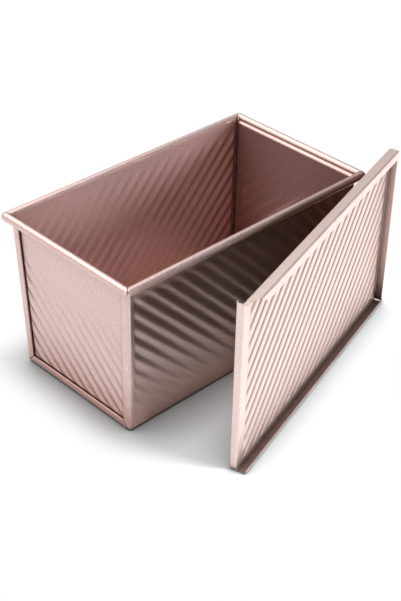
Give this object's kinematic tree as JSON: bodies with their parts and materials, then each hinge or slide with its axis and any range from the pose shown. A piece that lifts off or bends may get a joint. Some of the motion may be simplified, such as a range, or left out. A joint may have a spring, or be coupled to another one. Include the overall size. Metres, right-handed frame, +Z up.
{
  "type": "pullman loaf pan",
  "caption": "Ribbed sheet-metal pullman loaf pan with wired rolled rims and a flat lid with side rails, shown taken off and standing upright.",
  "frame": {"origin": "centre of the pan's base, on the surface that it stands on", "axes": "+Z up, X along the pan's length, the lid stands in front of the long wall at -Y"},
  "size_m": [0.2387, 0.1891, 0.124],
  "materials": {
    "coated_sheet": "champagne pink non-stick coating on carbon steel sheet, satin",
    "rim_wire": "drawn steel wire"
  },
  "bodies": {
    "pan": {"pan_shell": "coated_sheet", "near_end_plate": "coated_sheet", "far_end_plate": "coated_sheet", "front_rim_wire": "rim_wire", "back_rim_wire": "rim_wire", "near_end_rim_wire": "rim_wire", "far_end_rim_wire": "rim_wire"},
    "lid": {"lid_panel": "coated_sheet", "lid_upper_rail": "coated_sheet", "lid_lower_rail": "coated_sheet"}
  },
  "joints": [
    {"name": "lid_lift", "type": "slide", "parent": "pan", "child": "lid", "axis": [0, 0, 1], "range_m": [0, 0.15]}
  ]
}
